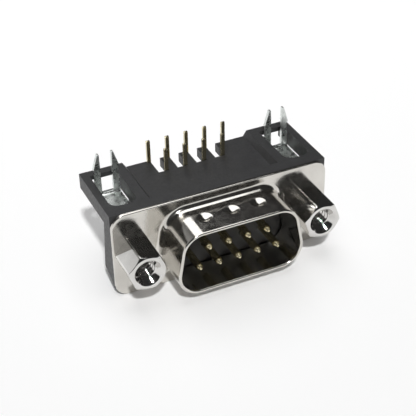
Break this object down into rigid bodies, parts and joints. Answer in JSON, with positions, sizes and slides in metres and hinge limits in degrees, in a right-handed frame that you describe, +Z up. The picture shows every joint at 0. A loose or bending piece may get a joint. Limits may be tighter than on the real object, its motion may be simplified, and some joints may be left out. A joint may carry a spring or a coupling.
{
  "type": "d-sub connector",
  "caption": "Right-angle board-mount d-sub plug: D-shaped metal mouth round mating pins, hex jack sockets either side, black housing, snap-in board locks and bent solder tails.",
  "frame": {"origin": "middle of the connector in plan, on the plane its lower edge stands on", "axes": "+X across the long side of the flange, right seen from the mouth; the mouth faces -Y; +Z is up, towards the circuit board"},
  "size_m": [0.0308, 0.0176, 0.0165],
  "materials": {
    "nickel_shell": "bright plated sheet",
    "black_plastic": "satin moulded plastic",
    "plated_contact": "plated",
    "bright_nickel": "bright plated",
    "tinned_strip": "tinned",
    "dull_nickel": "plated"
  },
  "bodies": {
    "root": {"front_shell": "nickel_shell", "housing": "black_plastic", "contact_1": "plated_contact", "contact_2": "plated_contact", "contact_3": "plated_contact", "contact_4": "plated_contact", "contact_5": "plated_contact", "contact_6": "plated_contact", "contact_7": "plated_contact", "contact_8": "plated_contact", "contact_9": "plated_contact", "jack_socket_left": "bright_nickel", "jack_socket_right": "bright_nickel", "board_lock_left": "tinned_strip", "board_lock_right": "tinned_strip", "clinch_nut_left": "dull_nickel", "clinch_nut_right": "dull_nickel"}
  },
  "joints": []
}
